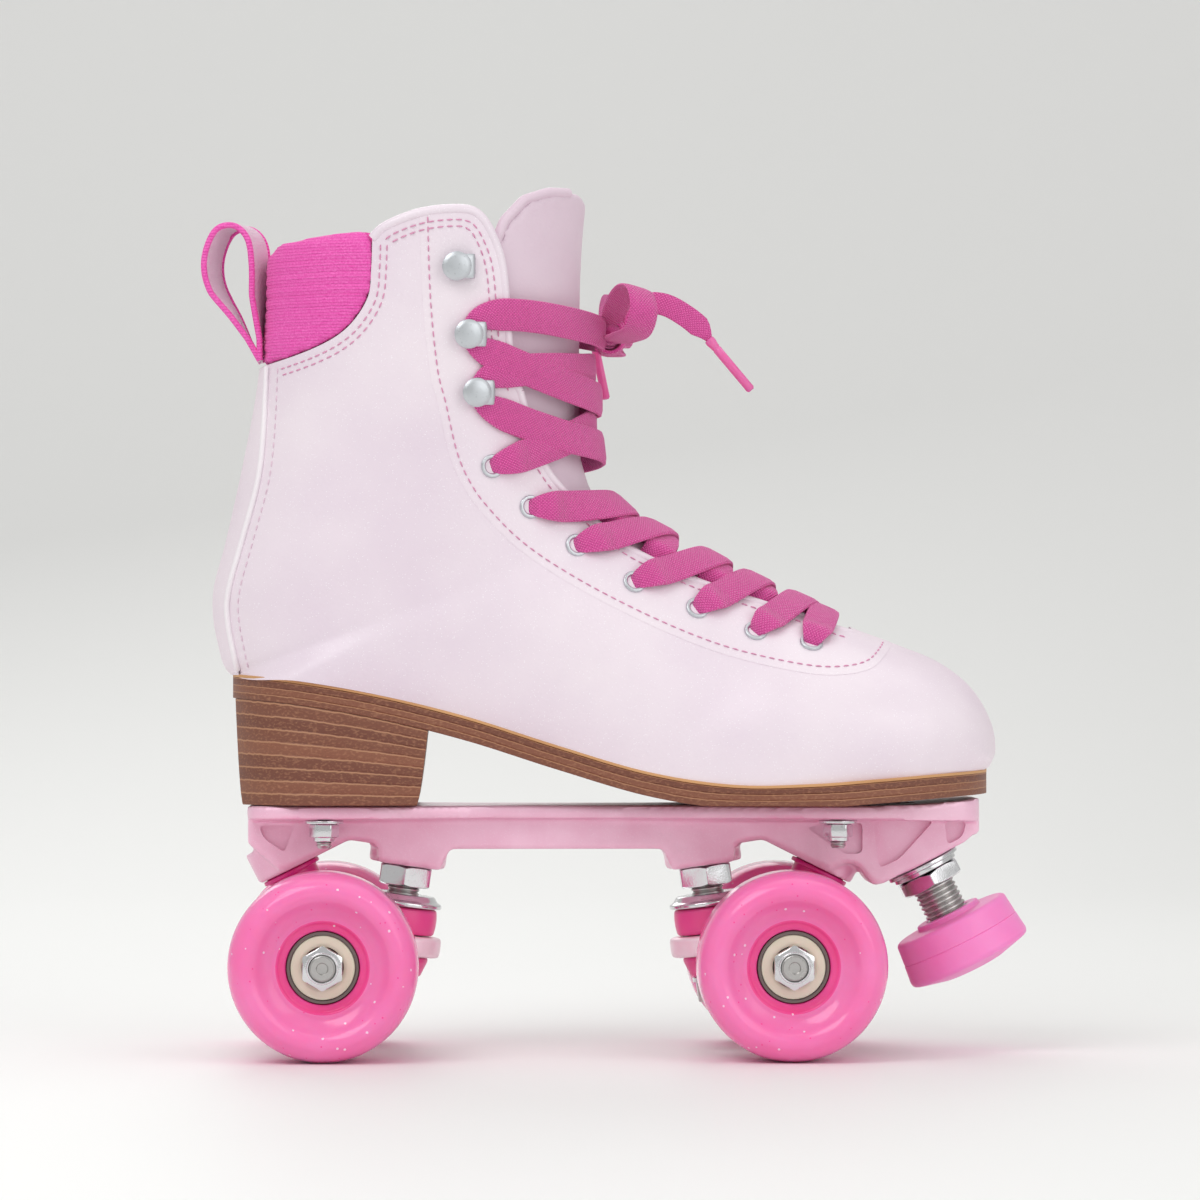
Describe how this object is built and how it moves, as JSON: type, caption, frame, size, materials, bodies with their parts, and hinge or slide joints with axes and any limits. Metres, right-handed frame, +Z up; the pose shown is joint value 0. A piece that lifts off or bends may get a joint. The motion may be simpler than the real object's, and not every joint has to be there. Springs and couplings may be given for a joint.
{
  "type": "quad roller skate",
  "caption": "High-top laced quad roller skate with stacked heel, cast plate, cushioned steering trucks, freely rolling wheels and an adjustable toe stop.",
  "frame": {"origin": "centre of the footprint box at the floor the wheels stand on", "axes": "+X towards the toe, +Y to the wearer's left, +Z up"},
  "size_m": [0.2555, 0.11, 0.2674],
  "materials": {
    "cast_plate": "pearl pink powder coat over a casting",
    "cast_hanger": "pale pink powder coat over a casting",
    "plated_steel": "satin zinc plate",
    "bright_steel": "bright nickel plate",
    "bearing_steel": "ground steel rings with pressed shields",
    "cushion_urethane": "smooth moulded urethane",
    "pivot_urethane": "smooth moulded urethane",
    "wheel_urethane": "translucent cast urethane with fine glitter",
    "stop_rubber": "moulded rubber",
    "upper_leather": "pearl coated leather, double stitched",
    "tongue_leather": "padded coated leather",
    "collar_cloth": "ribbed padded velour",
    "lining_cloth": "brushed lining cloth",
    "tab_webbing": "woven webbing",
    "sole_leather": "waxed stacked leather with pale layer lines",
    "heel_leather": "waxed stacked leather with pale layer lines",
    "lace_cotton": "flat woven cotton lace",
    "aglet_plastic": "clear pink film"
  },
  "bodies": {
    "chassis": {"mount_bolt_front_right": "plated_steel", "mount_nut_front_right": "plated_steel", "mount_bolt_front_left": "plated_steel", "mount_nut_front_left": "plated_steel", "kingpin_front": "plated_steel", "kingpin_nut_front": "bright_steel", "upper_cup_washer_front": "bright_steel", "lower_washer_front": "bright_steel", "upper_cushion_front": "cushion_urethane", "lower_cushion_front": "cushion_urethane", "pivot_cup_front": "pivot_urethane", "mount_bolt_rear_right": "plated_steel", "mount_nut_rear_right": "plated_steel", "mount_bolt_rear_left": "plated_steel", "mount_nut_rear_left": "plated_steel", "kingpin_rear": "plated_steel", "kingpin_nut_rear": "bright_steel", "upper_cup_washer_rear": "bright_steel", "lower_washer_rear": "bright_steel", "upper_cushion_rear": "cushion_urethane", "lower_cushion_rear": "cushion_urethane", "pivot_cup_rear": "pivot_urethane", "plate": "cast_plate", "toe_stop_washer": "bright_steel", "toe_stop_nut": "bright_steel", "sole": "sole_leather", "heel_block": "heel_leather", "upper": "upper_leather", "heel_collar": "collar_cloth", "tongue": "tongue_leather", "footbed": "lining_cloth", "pull_tab": "tab_webbing", "lace_run": "lace_cotton", "lace_bow": "lace_cotton", "lace_tail_long": "lace_cotton", "lace_tail_short": "lace_cotton", "aglet_long": "aglet_plastic", "aglet_short": "aglet_plastic"},
    "truck_front": {"hanger_front": "cast_hanger", "axle_front": "plated_steel", "axle_nut_front_right": "bright_steel", "axle_nut_front_left": "bright_steel"},
    "roller_front_right": {"wheel_front_right": "wheel_urethane", "bearing_front_right_inner": "bearing_steel", "bearing_front_right_outer": "bearing_steel"},
    "roller_front_left": {"wheel_front_left": "wheel_urethane", "bearing_front_left_inner": "bearing_steel", "bearing_front_left_outer": "bearing_steel"},
    "truck_rear": {"hanger_rear": "cast_hanger", "axle_rear": "plated_steel", "axle_nut_rear_right": "bright_steel", "axle_nut_rear_left": "bright_steel"},
    "roller_rear_right": {"wheel_rear_right": "wheel_urethane", "bearing_rear_right_inner": "bearing_steel", "bearing_rear_right_outer": "bearing_steel"},
    "roller_rear_left": {"wheel_rear_left": "wheel_urethane", "bearing_rear_left_inner": "bearing_steel", "bearing_rear_left_outer": "bearing_steel"},
    "toe_stop": {"toe_stop_stem": "plated_steel", "toe_stop_pad": "stop_rubber"}
  },
  "joints": [
    {"name": "steer_front", "type": "hinge", "parent": "chassis", "child": "truck_front", "pos_m": [0.0299, 0, 0.0341], "axis": [0.8485, 0, 0.5293], "range_deg": [-8, 8], "stiffness_Nm_per_rad": 20, "deforming": ["upper_cushion_front", "lower_cushion_front"]},
    {"name": "spin_front_right", "type": "hinge", "parent": "truck_front", "child": "roller_front_right", "pos_m": [0.0515, -0.039, 0.029], "axis": [0, 1, 0], "continuous": true},
    {"name": "spin_front_left", "type": "hinge", "parent": "truck_front", "child": "roller_front_left", "pos_m": [0.0515, 0.039, 0.029], "axis": [0, 1, 0], "continuous": true},
    {"name": "steer_rear", "type": "hinge", "parent": "chassis", "child": "truck_rear", "pos_m": [-0.0697, 0, 0.0341], "axis": [-0.8485, 0, 0.5293], "range_deg": [-8, 8], "stiffness_Nm_per_rad": 20, "deforming": ["upper_cushion_rear", "lower_cushion_rear"]},
    {"name": "spin_rear_right", "type": "hinge", "parent": "truck_rear", "child": "roller_rear_right", "pos_m": [-0.0913, -0.039, 0.029], "axis": [0, 1, 0], "continuous": true},
    {"name": "spin_rear_left", "type": "hinge", "parent": "truck_rear", "child": "roller_rear_left", "pos_m": [-0.0913, 0.039, 0.029], "axis": [0, 1, 0], "continuous": true},
    {"name": "toe_stop_height", "type": "slide", "parent": "chassis", "child": "toe_stop", "axis": [0.4509, 0, -0.8926], "range_m": [-0.004, 0.008]}
  ]
}
